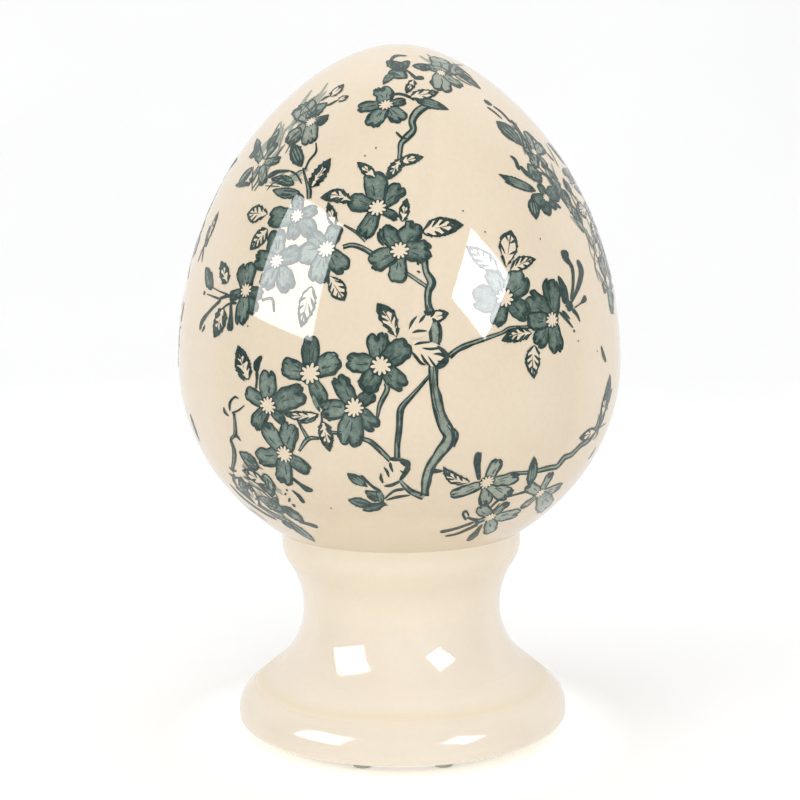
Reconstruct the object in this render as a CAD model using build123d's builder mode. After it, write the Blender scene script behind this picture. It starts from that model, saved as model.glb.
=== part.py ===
from build123d import *
from math import asin, cos, degrees, hypot, radians, sin, sqrt, tan
import os

# Decorative egg on a waisted foot, millimetres, +Z up.
# The object stands on Z = 0, its axis is the Z axis and its front faces -Y.

# ---------------------------------------------------------------- dimensions
total_height = 225.7          # floor to the egg's tip

# egg outline: tangent arcs from the tip downwards, each a radius and a turn
egg_arc_radii = (35.4, 65.4, 100.6, 121.7, 62.8)
egg_arc_turns = (20.9, 15.1, 23.4, 29.7, 37.4)
egg_wall = 5.0
pour_hole_dia = 20.0          # hole left by emptying the casting

# foot outline
pad_thickness = 1.2
pad_dia = 6.0
pad_circle_radius = 42.0
pad_azimuths = {              # degrees from the front, positive to the right
    "pad_front_left": -17.5,
    "pad_front_right": 17.5,
    "pad_rear_right": 125.0,
    "pad_rear_left": -125.0,
}
foot_ring_outer_radius = 45.6
foot_ring_inner_radius = 37.5
undercut_angle = 21.3         # slope of the under-edge above the floor
rim_radius = 54.9             # widest radius of the foot
rim_lower_round = 2.5
rim_upper_round = 8.6
rim_band = 1.4                # upright band between the two rounds
flare_angle = 49.9            # flare line, measured from the upright
waist_radius = 32.85
waist_lower_round = 24.8
waist_upper_round = 28.3
collar_angle = 34.0           # lean of the cup where the shoulder starts
shoulder_round = 11.7
lip_width = 1.5               # level top of the cup's wall
stand_wall = 5.5
vent_hole_dia = 6.0           # lets the hollow egg breathe into the foot
cup_corner_round = 3.0        # inside corner under the cup
rim_corner_round = 3.0        # inside corner behind the rim

# joint of clay slip between cup and egg, wiped flush with the collar
slip_thickness = 0.8
slip_inner_radius = 13.0
slip_cove = 0.9               # hollow round where the joint runs out on the egg

# ---------------------------------------------------------------- egg arcs
# every arc is kept as (centre r, centre z, radius, start turn, end turn);
# the turn is the outward normal's angle from +Z
egg_arcs = []
turn, centre_r, centre_z = 0.0, 0.0, total_height - egg_arc_radii[0]
for index, (arc_radius, arc_turn) in enumerate(zip(egg_arc_radii, egg_arc_turns)):
    if index:
        step = egg_arc_radii[index - 1] - arc_radius
        centre_r += step * sin(radians(turn))
        centre_z += step * cos(radians(turn))
    egg_arcs.append((centre_r, centre_z, arc_radius, turn, turn + arc_turn))
    turn += arc_turn
# the last arc is centred on the axis and closes the egg at its lower pole
last_r = centre_r + egg_arc_radii[-1] * sin(radians(turn))
last_z = centre_z + egg_arc_radii[-1] * cos(radians(turn))
seat_radius = last_r / sin(radians(turn))
seat_centre_z = last_z - seat_radius * cos(radians(turn))
egg_arcs.append((0.0, seat_centre_z, seat_radius, turn, 180.0))


def on_arc(arc, angle, inset=0.0):
    r, z, radius, _, _ = arc
    a = radians(angle)
    return (r + (radius - inset) * sin(a), z + (radius - inset) * cos(a))


def egg_chain(inset):
    """Arc triples from the tip to the pour hole, set in by a wall thickness."""
    triples = []
    for arc in egg_arcs:
        start, end = arc[3], arc[4]
        if arc is egg_arcs[-1]:
            end = 180.0 - degrees(asin(pour_hole_dia / 2 / (arc[2] - inset)))
        triples.append((on_arc(arc, start, inset),
                        on_arc(arc, (start + end) / 2, inset),
                        on_arc(arc, end, inset)))
    return triples


def below_egg(radius, gap):
    """Height of the sphere that runs a gap below the egg's lower arc."""
    return seat_centre_z - sqrt((seat_radius + gap) ** 2 - radius ** 2)


# ---------------------------------------------------------------- egg shell
outer_chain = egg_chain(0.0)
inner_chain = egg_chain(egg_wall)

with BuildPart() as egg_shell:
    with BuildSketch(Plane.XZ):
        with BuildLine():
            for first, middle, last in outer_chain:
                ThreePointArc(first, middle, last)
            Line(outer_chain[-1][2], inner_chain[-1][2])
            for first, middle, last in reversed(inner_chain):
                ThreePointArc(last, middle, first)
            Line(inner_chain[0][0], outer_chain[0][0])
        make_face()
    revolve(axis=Axis.Z)

# ---------------------------------------------------------------- foot
alpha = radians(undercut_angle)
beta = radians(flare_angle)
gamma = radians(collar_angle)
foot_z = pad_thickness

rim_low_r = rim_radius - rim_lower_round
rim_low_touch_r = rim_low_r + rim_lower_round * sin(alpha)
rim_low_z = (foot_z + (rim_low_touch_r - foot_ring_outer_radius) * tan(alpha)
             + rim_lower_round * cos(alpha))
rim_high_r = rim_radius - rim_upper_round
rim_high_z = rim_low_z + rim_band
flare_top_r = waist_radius + waist_lower_round * (1 - cos(beta))
flare_start = (rim_high_r + rim_upper_round * cos(beta),
               rim_high_z + rim_upper_round * sin(beta))
flare_run = (flare_start[0] - flare_top_r) / sin(beta)
waist_z = flare_start[1] + flare_run * cos(beta) + waist_lower_round * sin(beta)

lower_waist_centre = (waist_radius + waist_lower_round, waist_z)
upper_waist_centre = (waist_radius + waist_upper_round, waist_z)
shoulder_start = (upper_waist_centre[0] - waist_upper_round * cos(gamma),
                  waist_z + waist_upper_round * sin(gamma))
shoulder_centre = (shoulder_start[0] - shoulder_round * cos(gamma),
                   shoulder_start[1] + shoulder_round * sin(gamma))
collar_radius = shoulder_centre[0] + shoulder_round


def ray(centre, radius, angle):
    return (centre[0] + radius * cos(angle), centre[1] + radius * sin(angle))


def arc_from(centre, radius, first, last):
    first, last = radians(first), radians(last)
    return ThreePointArc(ray(centre, radius, first),
                         ray(centre, radius, (first + last) / 2),
                         ray(centre, radius, last))


def meet(centre_a, radius_a, centre_b, radius_b):
    """Meeting point of two circles on the side nearer the floor's rim."""
    dx, dz = centre_b[0] - centre_a[0], centre_b[1] - centre_a[1]
    gap = hypot(dx, dz)
    along = (gap ** 2 + radius_a ** 2 - radius_b ** 2) / (2 * gap)
    across = sqrt(radius_a ** 2 - along ** 2)
    base = (centre_a[0] + along * dx / gap, centre_a[1] + along * dz / gap)
    options = [(base[0] - across * dz / gap, base[1] + across * dx / gap),
               (base[0] + across * dz / gap, base[1] - across * dx / gap)]
    return min(options, key=lambda p: abs(p[0] - (waist_radius - stand_wall)))


lip_seat_r = collar_radius - lip_width
lip_height = below_egg(lip_seat_r, slip_thickness)
seat_in = (vent_hole_dia / 2, below_egg(vent_hole_dia / 2, slip_thickness))
seat_mid_r = (lip_seat_r + vent_hole_dia / 2) / 2
floor_gap = slip_thickness + stand_wall
floor_in = (vent_hole_dia / 2, below_egg(vent_hole_dia / 2, floor_gap))
neck_round = waist_upper_round + stand_wall
corner = meet((0.0, seat_centre_z), seat_radius + floor_gap, upper_waist_centre, neck_round)
floor_mid_r = (corner[0] + floor_in[0]) / 2
neck_angle = 180.0 - degrees(asin((corner[1] - waist_z) / neck_round))
wall_in = (foot_ring_outer_radius - stand_wall * sin(alpha), foot_z + stand_wall * cos(alpha))
ring_in_z = wall_in[1] - (wall_in[0] - foot_ring_inner_radius) * tan(alpha)
# the inner faces of the flare and of the under-edge meet behind the rim
flare_in = ray(lower_waist_centre, waist_lower_round + stand_wall, radians(180) + beta)
flare_reach = (((wall_in[1] - flare_in[1]) * cos(alpha) - (wall_in[0] - flare_in[0]) * sin(alpha))
               / (-cos(beta) * cos(alpha) - sin(beta) * sin(alpha)))
rim_in = (flare_in[0] + flare_reach * sin(beta), flare_in[1] - flare_reach * cos(beta))

with BuildPart() as pedestal_stand:
    with BuildSketch(Plane.XZ):
        with BuildLine():
            # outside, from the floor up
            Line((foot_ring_inner_radius, foot_z), (foot_ring_outer_radius, foot_z))
            rim_low = arc_from((rim_low_r, rim_low_z), rim_lower_round, undercut_angle - 90, 0)
            Line((foot_ring_outer_radius, foot_z), rim_low @ 0)
            rim_high = arc_from((rim_high_r, rim_high_z), rim_upper_round, 0, flare_angle)
            Line(rim_low @ 1, rim_high @ 0)
            waist_low = arc_from(lower_waist_centre, waist_lower_round, 180 + flare_angle, 180)
            Line(rim_high @ 1, waist_low @ 0)
            waist_high = arc_from(upper_waist_centre, waist_upper_round, 180, 180 - collar_angle)
            shoulder = arc_from(shoulder_centre, shoulder_round, -collar_angle, 0)
            lip_out = (collar_radius, lip_height)
            Line(shoulder @ 1, lip_out)
            # the seat that follows the egg, and the vent
            Line(lip_out, (lip_seat_r, lip_height))
            ThreePointArc((lip_seat_r, lip_height),
                          (seat_mid_r, below_egg(seat_mid_r, slip_thickness)), seat_in)
            Line(seat_in, floor_in)
            # inside, back down to the floor
            ThreePointArc(floor_in, (floor_mid_r, below_egg(floor_mid_r, floor_gap)), corner)
            neck_high = arc_from(upper_waist_centre, neck_round, neck_angle, 180)
            neck_low = arc_from(lower_waist_centre, waist_lower_round + stand_wall,
                                180, 180 + flare_angle)
            Line(neck_low @ 1, rim_in)
            Line(rim_in, (foot_ring_inner_radius, ring_in_z))
            Line((foot_ring_inner_radius, ring_in_z), (foot_ring_inner_radius, foot_z))
        profile = make_face()
        for place, size in ((corner, cup_corner_round), (rim_in, rim_corner_round)):
            inside_corner = [v for v in profile.vertices()
                             if hypot(v.X - place[0], v.Y - place[1]) < 0.01]
            profile = fillet(inside_corner, radius=size)
    revolve(axis=Axis.Z)

# ---------------------------------------------------------------- slip joint
cove_centre = (collar_radius + slip_cove, below_egg(collar_radius + slip_cove, slip_cove))
cove_foot = (collar_radius, cove_centre[1])
cove_turn = asin((collar_radius + slip_cove) / (seat_radius + slip_cove))
cove_mid = ray(cove_centre, slip_cove, radians(180) - (radians(90) - cove_turn) / 2)
cove_top = ray(cove_centre, slip_cove, radians(90) + cove_turn)
slip_mid_r = (slip_inner_radius + cove_top[0]) / 2
slip_seat_mid_r = (slip_inner_radius + lip_seat_r) / 2

with BuildPart() as slip_joint:
    with BuildSketch(Plane.XZ):
        with BuildLine():
            ThreePointArc((slip_inner_radius, below_egg(slip_inner_radius, 0.0)),
                          (slip_mid_r, below_egg(slip_mid_r, 0.0)), cove_top)
            ThreePointArc(cove_top, cove_mid, cove_foot)
            Line(cove_foot, (collar_radius, lip_height))
            Line((collar_radius, lip_height), (lip_seat_r, lip_height))
            ThreePointArc((lip_seat_r, lip_height),
                          (slip_seat_mid_r, below_egg(slip_seat_mid_r, slip_thickness)),
                          (slip_inner_radius, below_egg(slip_inner_radius, slip_thickness)))
            Line((slip_inner_radius, below_egg(slip_inner_radius, slip_thickness)),
                 (slip_inner_radius, below_egg(slip_inner_radius, 0.0)))
        make_face()
    revolve(axis=Axis.Z)

# ---------------------------------------------------------------- pads
pads = {}
for pad_name, azimuth in pad_azimuths.items():
    a = radians(azimuth)
    with BuildPart() as pad:
        with Locations((pad_circle_radius * sin(a), -pad_circle_radius * cos(a), 0.0)):
            Cylinder(radius=pad_dia / 2, height=pad_thickness,
                     align=(Align.CENTER, Align.CENTER, Align.MIN))
    pads[pad_name] = pad

# ---------------------------------------------------------------- export
os.makedirs("parts", exist_ok=True)
egg_shell.part.label = "egg_shell"
export_step(egg_shell.part, "parts/egg_shell.step")
pedestal_stand.part.label = "pedestal_stand"
export_step(pedestal_stand.part, "parts/pedestal_stand.step")
slip_joint.part.label = "slip_joint"
export_step(slip_joint.part, "parts/slip_joint.step")
for pad_name, pad in pads.items():
    pad.part.label = pad_name
    export_step(pad.part, f"parts/{pad_name}.step")
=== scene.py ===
import math

import bpy
import numpy as np
from mathutils import Matrix, Vector
from mathutils.geometry import delaunay_2d_cdt


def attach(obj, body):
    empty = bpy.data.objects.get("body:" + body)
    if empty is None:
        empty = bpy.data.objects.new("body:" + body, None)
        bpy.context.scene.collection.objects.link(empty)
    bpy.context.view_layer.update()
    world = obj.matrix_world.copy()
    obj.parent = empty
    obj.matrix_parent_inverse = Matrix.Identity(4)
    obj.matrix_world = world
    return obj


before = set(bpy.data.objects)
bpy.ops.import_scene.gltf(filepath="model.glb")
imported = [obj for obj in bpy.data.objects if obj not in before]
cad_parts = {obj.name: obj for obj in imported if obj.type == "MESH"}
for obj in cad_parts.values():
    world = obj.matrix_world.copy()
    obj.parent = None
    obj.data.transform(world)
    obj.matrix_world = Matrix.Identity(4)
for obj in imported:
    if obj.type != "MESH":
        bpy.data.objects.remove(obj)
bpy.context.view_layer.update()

scene = bpy.context.scene
rng = np.random.default_rng(20)
MM = 0.001

# ------------------------------------------------------------------ egg outline
# The same chain of tangent arcs as the cast egg, in millimetres, from the tip down.
total_height = 225.7
arc_radii = (35.4, 65.4, 100.6, 121.7, 62.8)
arc_turns = (20.9, 15.1, 23.4, 29.7, 37.4)


def egg_arcs():
    arcs, turn, cr, cz = [], 0.0, 0.0, total_height - arc_radii[0]
    for i, (radius, step) in enumerate(zip(arc_radii, arc_turns)):
        if i:
            shift = arc_radii[i - 1] - radius
            cr += shift * math.sin(math.radians(turn))
            cz += shift * math.cos(math.radians(turn))
        arcs.append((cr, cz, radius, math.radians(turn), math.radians(turn + step)))
        turn += step
    end = math.radians(turn)
    r = cr + arc_radii[-1] * math.sin(end)
    z = cz + arc_radii[-1] * math.cos(end)
    last = r / math.sin(end)
    arcs.append((0.0, z - last * math.cos(end), last, end, math.pi))
    return arcs


ARCS = egg_arcs()


def snap(points):
    """Nearest points on the egg and the outward normals there."""
    p = np.asarray(points, float).reshape(-1, 3)
    r, z = np.hypot(p[:, 0], p[:, 1]), p[:, 2]
    best = np.full(len(p), 1e9)
    sr, sz, nr, nz = (np.zeros(len(p)) for _ in range(4))
    for cr, cz, radius, t0, t1 in ARCS:
        a = np.clip(np.arctan2(r - cr, z - cz), t0, t1)
        ar, az = cr + radius * np.sin(a), cz + radius * np.cos(a)
        d = np.hypot(r - ar, z - az)
        m = d < best
        best = np.where(m, d, best)
        sr, sz = np.where(m, ar, sr), np.where(m, az, sz)
        nr, nz = np.where(m, np.sin(a), nr), np.where(m, np.cos(a), nz)
    k = 1.0 / np.maximum(r, 1e-9)
    x, y = p[:, 0] * k, p[:, 1] * k
    return np.c_[x * sr, y * sr, sz], np.c_[x * nr, y * nr, nz]


# ------------------------------------------------------------------ camera
view_back, view_up = 540.0, 182.6
view_pitch, view_roll = math.radians(7.60), math.radians(-0.49)
view_focal = 1650.7  # in pixels of an 800 x 800 picture
eye = np.array([0.0, -view_back, view_up])
forward = np.array([0.0, math.cos(view_pitch), -math.sin(view_pitch)])
_side = np.array([1.0, 0.0, 0.0])
_up = np.array([0.0, math.sin(view_pitch), math.cos(view_pitch)])
right = _side * math.cos(view_roll) + _up * math.sin(view_roll)
above = _up * math.cos(view_roll) - _side * math.sin(view_roll)

camera_data = bpy.data.cameras.new("camera")
camera_data.sensor_fit = "HORIZONTAL"
camera_data.sensor_width = 36.0
camera_data.lens = view_focal / 800.0 * 36.0
camera_data.clip_start, camera_data.clip_end = 0.02, 60.0
camera = bpy.data.objects.new("camera", camera_data)
scene.collection.objects.link(camera)
camera.matrix_world = Matrix(
    [[*map(float, (right[i], above[i], -forward[i], eye[i] * MM))] for i in range(3)]
    + [[0.0, 0.0, 0.0, 1.0]]
)
scene.camera = camera


def trace(px):
    """Where the lines of sight through points of the picture come nearest to the egg."""
    d = forward * view_focal + right * (px[:, :1] - 400.0) + above * (400.0 - px[:, 1:2])
    d /= np.linalg.norm(d, axis=1, keepdims=True)
    t = np.full(len(px), 380.0)
    least, where = np.full(len(px), 1e9), np.zeros((len(px), 3))
    for _ in range(140):
        p = eye + d * t[:, None]
        s, n = snap(p)
        gap = np.einsum("ij,ij->i", p - s, n)
        m = np.abs(gap) < least
        least = np.where(m, np.abs(gap), least)
        where = np.where(m[:, None], s, where)
        t = t + gap * 0.98
    return where


def project(points):
    """Where points in space come in the picture."""
    d = np.asarray(points, float).reshape(-1, 3) - eye
    depth = d @ forward
    return np.c_[400.0 + view_focal * (d @ right) / depth, 400.0 - view_focal * (d @ above) / depth]


def cast(px):
    """Where the egg stands behind points of the picture. A point off its outline is drawn in until it meets the egg."""
    px = np.array(px, float).reshape(-1, 2)
    where = trace(px)
    for _ in range(40):
        off = np.abs(project(where) - px).max(1) > 0.4
        if not off.any():
            break
        px[off] += ((402.0, 320.0) - px[off]) * 0.01
        where[off] = trace(px[off])
    return where


# ------------------------------------------------------------------ print layers
class Ink:
    """One colour of the print: thin sheets that follow the egg at a small lift."""

    def __init__(self, name, lift):
        self.name, self.lift, self.chunks = name, lift, []

    def add(self, points, faces, tone=0.0, rise=0.0):
        s, n = snap(points)
        faces = np.asarray(faces, int).reshape(-1, 3)
        a, b, c = s[faces[:, 0]], s[faces[:, 1]], s[faces[:, 2]]
        cross = np.cross(b - a, c - a)
        size = np.linalg.norm(cross, axis=1)
        faces, cross = faces[size > 1e-7], cross[size > 1e-7]
        turned = np.einsum("ij,ij->i", cross, n[faces[:, 0]]) < 0
        faces[turned] = faces[turned][:, ::-1]
        tone = np.broadcast_to(np.asarray(tone, float), (len(s),))
        self.chunks.append((s + n * (self.lift + rise), n, faces, tone, tuple(HERE)))


HERE = [0.0, 0.0]  # azimuth and height of the motif being drawn, for the repeats
tint = Ink("blossom_tint", 0.040)
wood = Ink("branch_tint", 0.085)
dark = Ink("blossom_lines", 0.110)
pale = Ink("blossom_stars", 0.140)


def place(px):
    """Tangent frame on the egg at a point of the picture."""
    s, n = snap(cast([px]))
    s, n = s[0], n[0]
    u = np.cross((0.0, 0.0, 1.0), n)
    u /= np.linalg.norm(u)
    HERE[:] = [math.degrees(math.atan2(s[0], -s[1])), s[2]]
    return s, n, u, np.cross(n, u)


def lay(at, flat):
    s, _, u, v = at
    flat = np.asarray(flat, float)
    return s + flat[:, :1] * u + flat[:, 1:2] * v


def flatten(at, points):
    s, _, u, v = at
    d = np.asarray(points, float) - s
    return np.c_[d @ u, d @ v]


def spline(points, step, closed=False):
    """Even points along a smooth curve through the given ones."""
    p = np.asarray(points, float)
    n = len(p)
    if n == 2 and not closed:
        k = max(2, int(np.linalg.norm(p[1] - p[0]) / step) + 1)
        return p[0] + (p[1] - p[0]) * np.linspace(0, 1, k)[:, None]
    rows = []
    for i in range(n if closed else n - 1):
        if closed:
            a, b, c, d = (p[(i + k) % n] for k in (-1, 0, 1, 2))
        else:
            b, c = p[i], p[i + 1]
            a = p[i - 1] if i else 2 * b - c
            d = p[i + 2] if i + 2 < n else 2 * c - b
        k = max(2, int(np.linalg.norm(c - b) / step) + 1)
        t = np.linspace(0, 1, k, endpoint=False)[:, None]
        rows.append(
            0.5 * (2 * b + (c - a) * t + (2 * a - 5 * b + 4 * c - d) * t**2 + (3 * b - a - 3 * c + d) * t**3)
        )
    if not closed:
        rows.append(p[-1:])
    return np.vstack(rows)


def within(poly, points):
    x, y = points[:, 0], points[:, 1]
    hit = np.zeros(len(points), bool)
    q = np.roll(poly, -1, axis=0)
    for (ax, ay), (bx, by) in zip(poly, q):
        if ay == by:
            continue
        m = ((ay > y) != (by > y)) & (x < (bx - ax) * (y - ay) / (by - ay) + ax)
        hit ^= m
    return hit


def fill(ink, at, outline, tone=0.0, step=1.7, rise=0.0):
    """A filled outline, given in the tangent plane in millimetres. The tone is a number or a function of the points."""
    outline = np.asarray(outline, float)
    lo, hi = outline.min(0), outline.max(0)
    gx, gy = np.arange(lo[0] + step / 2, hi[0], step), np.arange(lo[1] + step / 2, hi[1], step)
    grid = np.array([(x + (j % 2) * step / 2, y) for j, y in enumerate(gy) for x in gx]).reshape(-1, 2)
    if len(grid):
        grid = grid[within(outline, grid)]
        if len(grid):
            away = np.sqrt(((grid[:, None, :] - outline[None]) ** 2).sum(2)).min(1)
            grid = grid[away > step * 0.35]
    points = np.vstack([outline, grid]) if len(grid) else outline
    out = delaunay_2d_cdt(
        [Vector((float(a), float(b))) for a, b in points], [], [list(range(len(outline)))], 1, 1e-6
    )
    verts = np.array([tuple(v) for v in out[0]])
    faces = [f for f in out[2] if len(f) == 3]
    if len(faces):
        ink.add(lay(at, verts), faces, tone(verts) if callable(tone) else tone, rise)


def ribbon(ink, path, width, tone=0.0, columns=2, rise=0.0):
    """A band along a path on the egg. The width is in millimetres, one value per point."""
    s, n = snap(path)
    width = np.broadcast_to(np.asarray(width, float), (len(s),))
    t = np.gradient(s, axis=0)
    b = np.cross(n, t)
    b /= np.maximum(np.linalg.norm(b, axis=1, keepdims=True), 1e-9)
    across = np.linspace(-0.5, 0.5, columns)
    points = (s[:, None, :] + b[:, None, :] * (width[:, None] * across)[:, :, None]).reshape(-1, 3)
    faces = []
    for i in range(len(s) - 1):
        for j in range(columns - 1):
            a = i * columns + j
            faces += [(a, a + columns, a + 1), (a + 1, a + columns, a + columns + 1)]
    ink.add(points, faces, tone, rise)


def taper(n, start=0.15, end=0.15, soft=0.25):
    """Line weight from one end to the other."""
    t = np.linspace(0, 1, n)
    w = np.ones(n)
    w = np.where(t < soft, start + (1 - start) * np.sin(t / soft * math.pi / 2), w)
    w = np.where(t > 1 - soft, np.minimum(w, end + (1 - end) * np.sin((1 - t) / soft * math.pi / 2)), w)
    return w


def wobble(n, amount):
    """Slow uneven weight, as of a hand-cut line."""
    k = max(2, n // 5)
    return 1 + amount * np.interp(np.linspace(0, 1, n), np.linspace(0, 1, k), rng.normal(0, 1, k))


PX = 0.290  # millimetres on the front of the egg for one pixel of the picture


def unit_across(path, most=2.0):
    """Millimetres across a path on the egg for one pixel of the picture, along the path."""
    s, n = snap(path)
    b = np.cross(n, np.gradient(s, axis=0))
    b /= np.maximum(np.linalg.norm(b, axis=1, keepdims=True), 1e-9)
    step = project(s + 0.5 * b) - project(s - 0.5 * b)
    line = np.gradient(project(s), axis=0)
    line /= np.maximum(np.linalg.norm(line, axis=1, keepdims=True), 1e-9)
    seen = np.abs(step[:, 0] * line[:, 1] - step[:, 1] * line[:, 0])
    return np.clip(1.0 / np.maximum(seen, 1e-6), 0.9 * PX, most * PX)


def stroke(px, weight=1.4, ends=(0.2, 0.2), ink=None, tone=0.0):
    """A drawn line through points of the picture. The weight is in pixels."""
    px = np.asarray(px, float)
    place(px[len(px) // 2])
    path = spline(cast(px), 0.55)
    ribbon(ink or dark, path, weight * unit_across(path) * taper(len(path), *ends) * wobble(len(path), 0.12), tone)


def dot(px, size=2.2, ink=None, stretch=1.0, turn=0.0):
    at = place(px)
    a = np.linspace(0, 2 * math.pi, 15, endpoint=False)
    r = size * PX * (1 + 0.12 * np.sin(3 * a + size))
    x, y = r * np.cos(a) * stretch, r * np.sin(a)
    c, s = math.cos(turn), math.sin(turn)
    fill(ink or dark, at, np.c_[x * c - y * s, x * s + y * c])


# ------------------------------------------------------------------ motifs
PETAL = (
    (0.08, 0.42), (0.20, 0.70), (0.34, 0.85), (0.50, 0.95), (0.66, 1.00), (0.79, 0.97), (0.89, 0.85), (0.955, 0.66),
    (0.995, 0.42),
)


def petal_outline(angle, length, half, notch):
    side = [(t * length, w * half * (1 + rng.normal(0, 0.06))) for t, w in PETAL]
    other = [(t * length, -w * half * (1 + rng.normal(0, 0.06))) for t, w in PETAL]
    lean = rng.normal(0, 0.16) * half
    tip = [((1 - 0.30 * notch) * length, lean + 0.15 * half), ((1 - notch) * length, lean),
           ((1 - 0.26 * notch) * length, lean - 0.13 * half)]
    if rng.random() < 0.5:
        # a second, smaller nick beside the first
        sign = rng.choice((-1, 1))
        nick = [(0.955 * length, sign * 0.72 * half), ((0.95 - 0.6 * notch) * length, sign * 0.58 * half),
                (0.985 * length, sign * 0.48 * half)]
        (side if sign > 0 else other)[7:8] = nick
    local = np.array(side + tip + other[::-1])
    curve = spline(local, 0.36, closed=True)
    c, s = math.cos(angle), math.sin(angle)
    return np.c_[curve[:, 0] * c - curve[:, 1] * s, curve[:, 0] * s + curve[:, 1] * c]


def outward(line):
    """Outward directions around a closed outline."""
    d = np.roll(line, -1, axis=0) - np.roll(line, 1, axis=0)
    out = np.c_[d[:, 1], -d[:, 0]] / np.maximum(np.linalg.norm(d, axis=1, keepdims=True), 1e-9)
    turning = np.sum(line[:, 0] * np.roll(line[:, 1], -1) - np.roll(line[:, 0], -1) * line[:, 1])
    return out if turning > 0 else -out


def shaded(line):
    """Line weight around an outline: heavier on the lower right, as the print is shaded."""
    return 0.80 + 0.75 * np.clip(outward(line) @ np.array((0.62, -0.78)), 0, 1)


def gap(points, line):
    """Distance from points to an outline."""
    return np.sqrt(((points[:, None, :] - line[None]) ** 2).sum(2)).min(1)


def runs(keep):
    """Stretches of True around a closed outline."""
    n = len(keep)
    if keep.all():
        return [np.arange(n + 1) % n]
    start = int(np.argmin(keep))
    order = (np.arange(n) + start) % n
    found, now = [], []
    for i in order:
        if keep[i]:
            now.append(i)
        elif now:
            found.append(np.array(now))
            now = []
    if now:
        found.append(np.array(now))
    return [f for f in found if len(f) > 2]


def star(at, radius, rays=10, turn=0.0):
    """The pale stamen rosette on its dark ground."""
    a = np.linspace(0, 2 * math.pi, rays * 14, endpoint=False)
    cut = (0.5 - 0.5 * np.cos(rays * (a - turn))) ** 1.6
    sway = 1 + 0.05 * np.sin(2 * a + turn)
    ground = radius * (1.12 - 0.06 * cut) * sway
    fill(dark, at, np.c_[ground * np.cos(a), ground * np.sin(a)], 0.10)
    uneven = 1 + 0.06 * np.interp(a, np.linspace(0, 2 * math.pi, rays + 1), np.r_[rng.normal(0, 1, rays), 0.0])
    r = radius * (1.0 - 0.42 * cut) * sway * uneven
    fill(pale, at, np.c_[r * np.cos(a), r * np.sin(a)])


def flower(centre, rosette, tips, widths=None, half=3.6, tone=0.0, weight=2.3, hatch=0.75, wide=0.295, ink=None):
    """A five-petalled blossom. Petal tips are points of the picture."""
    at = place(centre)
    flat = flatten(at, cast(tips))
    widths = widths or [1.0] * len(flat)
    outlines, halves = [], []
    for (x, y), w in zip(flat, widths):
        length = math.hypot(x, y)
        fit = min(half, wide * length) * w * rng.uniform(0.92, 1.10)
        notch = rng.uniform(0.11, 0.22) if rng.random() < 0.85 else 0.04
        outlines.append(petal_outline(math.atan2(y, x), length, fit, notch))
        halves.append(fit)
    order = [int(k) for k in rng.permutation(len(outlines))]
    for level, k in enumerate(order):
        line, w = outlines[k], halves[k]
        x, y = flat[k]
        length = math.hypot(x, y)
        d, e = np.array((x, y)) / length, np.array((-y, x)) / length
        base, slope, cross = tone + rng.normal(0, 0.14), rng.uniform(-0.1, 0.5), rng.uniform(-0.35, 0.35)
        fill(
            ink or tint, at, line,
            lambda p: base + 0.12 + slope * ((p @ d) / length - 0.6) + cross * (p @ e) / w - 0.75 * np.exp(-gap(p, line) / 0.75),
            step=1.3, rise=0.004 * level,
        )
        hidden = np.zeros(len(line), bool)
        for j in order[level + 1:]:
            hidden |= within(outlines[j], line)
        fat = shaded(line) * wobble(len(line), 0.20)
        for run in runs(~hidden):
            path = lay(at, line[run])
            ribbon(dark, path, weight * PX * fat[run] * taper(len(path), 0.5, 0.5, 0.1), rng.uniform(0, 0.2))
        # a shaded stretch of the edge, and a few strokes that run in from the nicks
        n, out = len(line), outward(line)
        for _ in range(2):
            if rng.random() < hatch:
                middle, reach = int(n * rng.uniform(0.28, 0.72)), int(n * rng.uniform(0.05, 0.10))
                part = np.arange(middle - reach, middle + reach + 1) % n
                if len(part) > 4 and not hidden[part].any():
                    fat = rng.uniform(2.4, 4.2) * PX * np.sin(np.linspace(0.15, math.pi - 0.15, len(part)))
                    ribbon(dark, lay(at, line[part] - out[part] * (fat / 2)[:, None]), fat, 0.25)
        if rng.random() < hatch:
            edge = np.flatnonzero((line @ d > 0.74 * length) & ~hidden)
            for i in edge[:: max(1, len(edge) // int(rng.integers(2, 4)))]:
                a = line[i]
                b = a - d * length * rng.uniform(0.08, 0.22) - e * (a @ e) * 0.25
                path = lay(at, spline([a, b], 0.4))
                ribbon(dark, path, rng.uniform(1.8, 3.0) * PX * np.linspace(1, 0.3, len(path)), 0.2)
        # fine strokes from the stamens outwards
        for q in rng.uniform(-0.5, 0.5, 2):
            a = d * length * rng.uniform(0.32, 0.40) + e * q * w * 0.45
            b = d * length * rng.uniform(0.50, 0.70) + e * q * w
            path = lay(at, spline([a, b], 0.5))
            ribbon(dark, path, 1.2 * PX * taper(len(path), 0.9, 0.1), 0.5)
    star(at, rosette * PX, int(rng.integers(10, 12)), rng.uniform(0, 1))


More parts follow.
